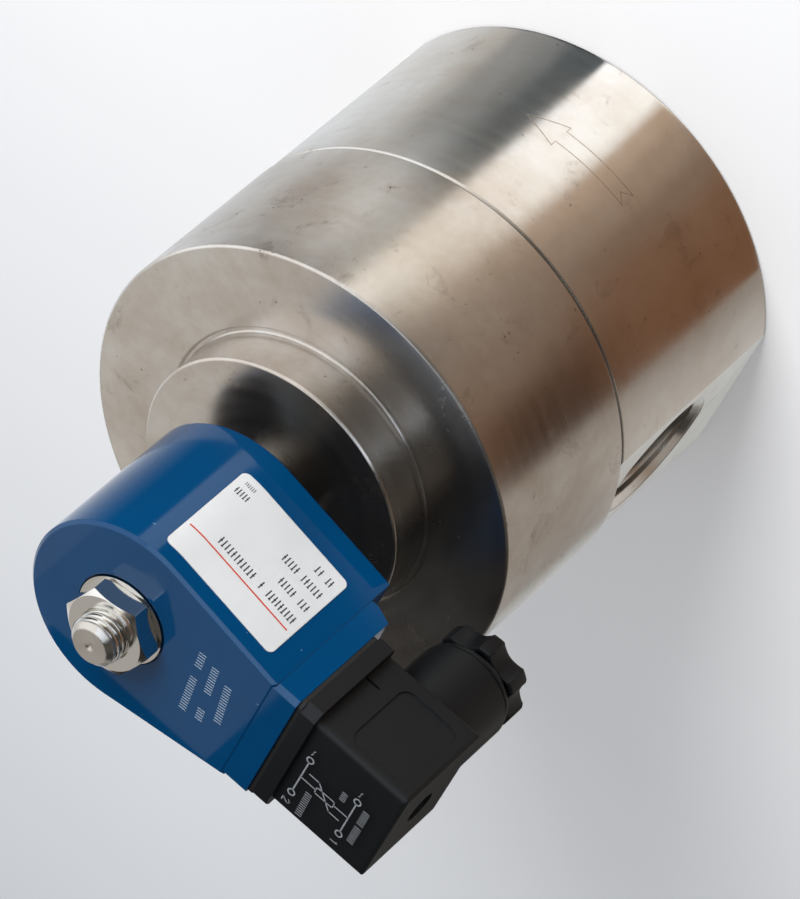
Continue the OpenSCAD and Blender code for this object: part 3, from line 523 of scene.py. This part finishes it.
# The lip of the connector's gasket, which shows round the pedestal's end, flush with the flange
LIP_HALF, LIP_LOW, LIP_HIGH, LIP_CORNER = 17.2, 139.5, 167.8, 1.8
GASKET_CORNER = 1.6
LIP_INSET = 0.05
gasket_low, gasket_high = box_mm("connector_gasket")


def rounded(half, low, high, radius):
    """The y and z of a rounded rectangle's points, from half its width, its two heights and its corners'
    radius."""
    ring = []
    for across, rise, quarter in ((1, 1, 0), (-1, 1, 1), (-1, -1, 2), (1, -1, 3)):
        middle = (across * (half - radius), (high if rise > 0 else low) - rise * radius)
        for k in range(7):
            turn = math.pi / 2 * (quarter + k / 6)
            ring.append((middle[0] + radius * math.cos(turn), middle[1] + radius * math.sin(turn)))
    return ring


outer = rounded(LIP_HALF, LIP_LOW, LIP_HIGH, LIP_CORNER)
inner = rounded(gasket_high.y + HAIR, gasket_low.z - HAIR, gasket_high.z + HAIR, GASKET_CORNER)
back_face, front_face = gasket_high.x - LIP_INSET, gasket_low.x + LIP_INSET
rings = [(outer, back_face), (outer, front_face), (inner, front_face), (inner, back_face)]
points = [(x, y, z) for ring, x in rings for y, z in ring]
count = len(outer)
faces = [(count * k + i, count * k + (i + 1) % count, count * ((k + 1) % 4) + (i + 1) % count,
          count * ((k + 1) % 4) + i) for k in range(4) for i in range(count)]
piece("gasket_lip", points, faces, FINISHES["black_rubber"], "coil")

# The flow arrow etched on the body's round front
ARROW_Z = 28.5
ARROW_LINE = 0.22
body_high = box_mm("valve_body")[1]
body_r = body_high.y


def on_wall(arc, height):
    """A point on the round side of the valve body, by its arc from the front and its height."""
    turn = arc / body_r - math.pi / 2
    radius = body_r + HAIR
    return radius * math.cos(turn), radius * math.sin(turn), ARROW_Z + height


# Round the arrow's outline from the tail, in mm along the arc and up the wall
arrow = [(-14.8, -2.2), (5.7, -2.2), (5.7, -3.9), (15.2, 0.0), (5.7, 3.9), (5.7, 2.2), (-14.8, 2.2),
         (-12.4, 0.0), (-14.8, -2.2)]
print_on("flow_arrow", strokes(arrow, ARROW_LINE), on_wall, engraved, "valve")

# The threads: an M12 x 1.75 stud out of the coil nut, and a pipe thread of 11 to the inch in each port
STUD_CORE, STUD_CREST, STUD_PITCH = 5.58, 6.0, 1.75
STUD_IN_NUT, STUD_POINT = 2.0, 1.2
PORT_Z, PORT_CORE, PORT_DEPTH, PORT_CHAMFER = 32.0, 15.145, 16.5, 1.6
PORT_RIDGE, PORT_PITCH = 0.75, 2.309
core_top, nut_top = (box_mm(node)[1].z for node in ("fixed_core", "coil_nut"))
thread("stud_thread", STUD_CORE, STUD_CREST, STUD_PITCH, nut_top - STUD_IN_NUT, core_top - STUD_POINT,
       (0.0, 0.0), "Z", plated, "valve")
for side, name in ((1, "outlet_thread"), (-1, "inlet_thread")):
    mouth = side * (body_high.x - PORT_CHAMFER)
    end = side * (body_high.x - PORT_CHAMFER - PORT_DEPTH)
    thread(name, PORT_CORE + HAIR, PORT_CORE - PORT_RIDGE, PORT_PITCH, min(mouth, end), max(mouth, end),
           (0.0, 0.0, PORT_Z), "X", machined, "valve")


# Stage: camera, floor, light and what polished metal mirrors

def sheet_of(name, corners, faces, material):
    """A flat thing of the studio, in mm, that isn't part of the valve."""
    mesh = bpy.data.meshes.new(name)
    mesh.from_pydata([Vector(c) * MM for c in corners], [], faces)
    mesh.materials.append(material)
    made = bpy.data.objects.new(name, mesh)
    bpy.context.scene.collection.objects.link(made)
    return made


# The camera looks down on the valve and is rolled far over, so that its axis leans to the upper right.
azimuth = math.radians(-12.14)
elevation = math.radians(40.70)
roll = math.radians(131.0)
distance = 1.534
aim = Vector((-13.9, -9.2, 88.7)) * MM
back = Vector((math.sin(azimuth) * math.cos(elevation), -math.cos(azimuth) * math.cos(elevation),
               math.sin(elevation)))
level_right = Vector((math.cos(azimuth), math.sin(azimuth), 0.0))
level_up = back.cross(level_right)
up = level_up * math.cos(roll) + level_right * math.sin(roll)
right = level_right * math.cos(roll) - level_up * math.sin(roll)
lens = bpy.data.cameras.new("camera")
lens.sensor_width = 36.0
lens.lens = 280.8
lens.clip_start = 0.1
lens.clip_end = 20.0
camera = bpy.data.objects.new("camera", lens)
camera.rotation_mode = "QUATERNION"
camera.location = aim + back * distance
camera.rotation_quaternion = Matrix((right, up, back)).transposed().to_quaternion()
bpy.context.scene.collection.objects.link(camera)
bpy.context.scene.camera = camera

# The floor is pale matt paper, its colour painted cooler and darker away from the window lamp, as painted
# light falloff. Seen by the camera it glows a little, as a lit sweep does, and the valve's shadow stays on
# it.
paper, tree = blank("pale_matt_paper")
place = add(tree, "TexCoord").outputs["Object"]
depth = add(tree, "SeparateXYZ", {0: place}).outputs[1]
NEAR, FAR = 40.0 * MM, 340.0 * MM
GLOW = 0.12
# Painted light falloff: the paper's base colour darkens from NEAR to FAR along y
painted_falloff = add(tree, "MapRange", {0: depth, 1: NEAR, 2: FAR})
tone = add(tree, "ValToRGB", {0: painted_falloff}, stops=[(0.0, linear("#F1F1F2")), (1.0, linear("#CFD2D6"))])
seen = add(tree, "LightPath").outputs["Is Camera Ray"]
lift = add(tree, "Math", {0: seen, 1: GLOW}, operation="MULTIPLY")
skin = add(tree, "BsdfPrincipled", {"Base Color": tone, "Roughness": 0.9, "Specular IOR Level": 0.1,
                                    "Emission Color": tone, "Emission Strength": lift})
add(tree, "OutputMaterial", {0: skin})
HALF = 6000.0
floor = sheet_of("floor", [(x * HALF, y * HALF, 0.0) for x, y in ((-1, -1), (1, -1), (1, 1), (-1, 1))],
                 [(0, 1, 2, 3)], paper)
floor.visible_glossy = False

key = bpy.data.lights.new("window", "AREA")
key.shape = "SQUARE"
key.size = 0.8
key.energy = 17.5
lamp = bpy.data.objects.new("window", key)
lamp.location = (0.56, -1.01, 0.86)
lamp.rotation_mode = "QUATERNION"
LAMP_AIM = Vector((0.0, 0.0, 80.0)) * MM
lamp.rotation_quaternion = (lamp.location - LAMP_AIM).to_track_quat("Z", "Y")
lamp.visible_glossy = False
bpy.context.scene.collection.objects.link(lamp)

# Glowing cards that only reflections see, which paint reflections into polished metal. Their tone is a
# colour attribute, blended between corners.
glow_stock, tree = blank("reflection_glow_card")
tone = add(tree, "VertexColor", layer_name="tone")
skin = add(tree, "Emission", {0: tone})
add(tree, "OutputMaterial", {0: skin})


def card(name, corners, faces, tones):
    """A glowing card seen by polished surfaces alone, a painted reflection, with a tone for each corner.
    """
    made = sheet_of(name, corners, faces, glow_stock)
    held = made.data.color_attributes.new("tone", "FLOAT_COLOR", "POINT")
    for i, tone in enumerate(tones):
        held.data[i].color = tone
    for way in ("camera", "diffuse", "transmission", "volume_scatter", "shadow"):
        setattr(made, "visible_" + way, False)


def plain_card(name, low, high, code, level=1.0):
    """A card of one tone between two opposite corners in mm, which share one coordinate."""
    i, j = [k for k in range(3) if low[k] != high[k]]
    corners = []
    for across, up in ((0, 0), (1, 0), (1, 1), (0, 1)):
        corner = list(low)
        corner[i] = (low, high)[across][i]
        corner[j] = (low, high)[up][j]
        corners.append(corner)
    card(name, corners, [(0, 1, 2, 3)], [linear(code, level)] * 4)


# The table round the valve: what its wall mirrors at each direction round its axis, in degrees, as the
# tone near the wall, the tone further out and their level. The valve body sees the near tone, the bonnet
# the far one.
TABLE = [
    (-22.0, "#F6FBFF", "#DCDFE2", 1.0), (-36.0, "#F0F4F8", "#D6D5D4", 1.0),
    (-49.0, "#D2D1CE", "#C6C2BD", 1.0), (-54.0, "#A8A9A8", "#DAD7D2", 1.0),
    (-64.0, "#8E9192", "#F2EFEA", 1.0), (-69.0, "#646B6E", "#E0DDD8", 1.0),
    (-76.3, "#5C6367", "#BFBBB4", 1.0), (-77.6, "#FFFFFF", "#E6DDD0", 1.5),
    (-91.0, "#FFFDF8", "#D2C5B5", 1.4), (-95.0, "#CDB49D", "#C6B3A0", 1.0),
    (-101.0, "#AF9884", "#AE9E8F", 1.0), (-110.0, "#8E7765", "#9A897B", 1.0),
    (-118.0, "#86654E", "#8A7768", 1.0), (-126.0, "#805D45", "#544034", 1.0),
    (-133.0, "#7C583F", "#3C2B21", 1.0), (-139.6, "#805C44", "#463328", 1.0),
    (-141.0, "#A0958B", "#AEA59B", 1.0), (-150.0, "#BDB6AE", "#B6AFA7", 1.0),
    (-160.0, "#D2CDC7", "#B0A9A1", 1.0), (-176.0, "#E2DED9", "#958F89", 1.0),
]
TABLE_R, TABLE_Z = 55.2, 0.3
# The tones hold still up to the second reach and from the third, and blend between them.
REACHES = (0.5, 60.0, 74.0, 124.0)
corners, tones = [], []
for turn, near, far, level in TABLE:
    wall = math.radians(turn)
    ray = 2 * wall + math.pi / 2 - azimuth
    for i, reach in enumerate(REACHES):
        corners.append((TABLE_R * math.cos(wall) + reach * math.cos(ray),
                        TABLE_R * math.sin(wall) + reach * math.sin(ray), TABLE_Z))
        tones.append(linear(near if i < 2 else far, level))
across = len(REACHES)
cells = [(across * i + k, across * i + k + 1, across * i + k + across + 1, across * i + k + across)
         for i in range(len(TABLE) - 1) for k in range(across - 1)]
card("table_tones", corners, cells, tones)
plain_card("black_flag", (-320, 120, 150), (37, 120, 420), "#2B2A29")
plain_card("nut_card", (-29, 30, 179), (26, 30, 228), "#B4AFA9")
# Painted dark reflections: the connector's end mirrors a dark card, the coil's flat side a blue-grey one
plain_card("dark_reflection_card", (-190, 120, 1), (-75, 260, 1), "#3C3A38")
plain_card("blue_grey_reflection_card", (-170, -310, 1), (60, -176, 1), "#1E262E")
plain_card("thread_card", (-150, -75, 18), (-150, 45, 95), "#A8A098")
plain_card("edge_card", (-120, -120, 235), (60, -120, 360), "#DDE6F2", 2.4)

# The coil's shaded underside as the bonnet mirrors it: by direction, how far it reaches and its tone
SHADE = "#14161A"
SHADE_Z = 125.8
UNDERSIDE = [(-103.0, 31.0, SHADE), (-85.0, 31.0, "#4E4E4D"), (-70.0, 29.5, "#4E5255"),
             (-55.0, 26.0, "#5A6066")]
UNDERSIDE += [(turn, 23.6, SHADE) for turn in range(-40, 101, 20)]
UNDERSIDE += [(154.7, 39.8, SHADE), (-146.3, 43.3, SHADE)]
corners, tones = [(0.0, 0.0, SHADE_Z)], [linear(SHADE)]
for turn, reach, code in UNDERSIDE:
    ray = math.radians(turn)
    corners.append((reach * math.cos(ray), reach * math.sin(ray), SHADE_Z))
    tones.append(linear(code))
count = len(UNDERSIDE)
card("underside_shade", corners, [(0, k + 1, (k + 1) % count + 1) for k in range(count)], tones)

# Beyond the cards metal mirrors a studio: its tone and level by compass direction in degrees, below and
# above the horizon. Everything else is lit by one even, faintly cool tone.
BELOW = [
    (-180.0, "#B0A79D", 1.0), (-177.0, "#86674C", 1.0), (-154.0, "#8E6A50", 1.0), (-130.0, "#957A63", 1.0),
    (-106.0, "#AA9078", 1.0), (-92.0, "#C9B29C", 1.0), (-84.0, "#FFFBF2", 1.4), (-51.0, "#FFFFFB", 1.4),
    (-48.0, "#34393E", 1.0), (-12.0, "#34393E", 1.0), (6.0, "#A9ADB1", 1.0), (22.0, "#D8DBDE", 1.0),
    (40.0, "#F0F2F5", 1.0), (72.0, "#EEF1F5", 1.0), (104.0, "#C4C6C4", 1.0), (142.0, "#B3AFA9", 1.0),
    (178.0, "#B7ADA2", 1.0),
]
ABOVE = [
    (-180.0, "#5F5A54", 1.0), (-150.0, "#35322D", 1.0), (-118.0, "#5C5A54", 1.0), (-92.0, "#555049", 1.0),
    (-74.0, "#C4BEB4", 1.0), (-50.0, "#FFFFFF", 1.3), (15.0, "#FFFFFF", 1.3), (40.0, "#D9D6D1", 1.0),
    (84.0, "#D3CEC7", 1.0), (106.0, "#4A4845", 1.0), (130.0, "#3A3835", 1.0), (152.0, "#33302D", 1.0),
    (178.0, "#5A5650", 1.0),
]
# A ramp keeps no tone above 1, so it holds each as a share of the peak, which the background gives back.
PEAK = 1.4
HORIZON = 0.06
EVEN_LEVEL = 0.56

world = bpy.data.worlds.new("studio")
world.use_nodes = True
tree = world.node_tree
tree.nodes.clear()
ray = add(tree, "TexCoord").outputs["Generated"]
xyz = add(tree, "SeparateXYZ", {0: ray}).outputs
compass = add(tree, "Math", {0: xyz[1], 1: xyz[0]}, operation="ARCTAN2")
turn = add(tree, "Math", {0: compass, 1: 0.5 / math.pi, 2: 0.5}, operation="MULTIPLY_ADD")
below, above = (add(tree, "ValToRGB", {0: turn}, stops=[
    ((direction + 180.0) / 360.0, linear(code, level / PEAK)) for direction, code, level in table])
    for table in (BELOW, ABOVE))
rise = add(tree, "MapRange", {0: xyz[2], 1: -HORIZON, 2: HORIZON})
studio = add(tree, "MixRGB", {0: rise, 1: below, 2: above})
mirrored = add(tree, "Background", {0: studio, 1: PEAK})
even = add(tree, "Background", {0: linear("#F2F4F7"), 1: EVEN_LEVEL})
glossy = add(tree, "LightPath").outputs["Is Glossy Ray"]
shown = add(tree, "MixShader", {0: glossy, 1: even, 2: mirrored})
add(tree, "OutputWorld", {0: shown})
bpy.context.scene.world = world
bpy.context.scene.view_settings.view_transform = "Standard"
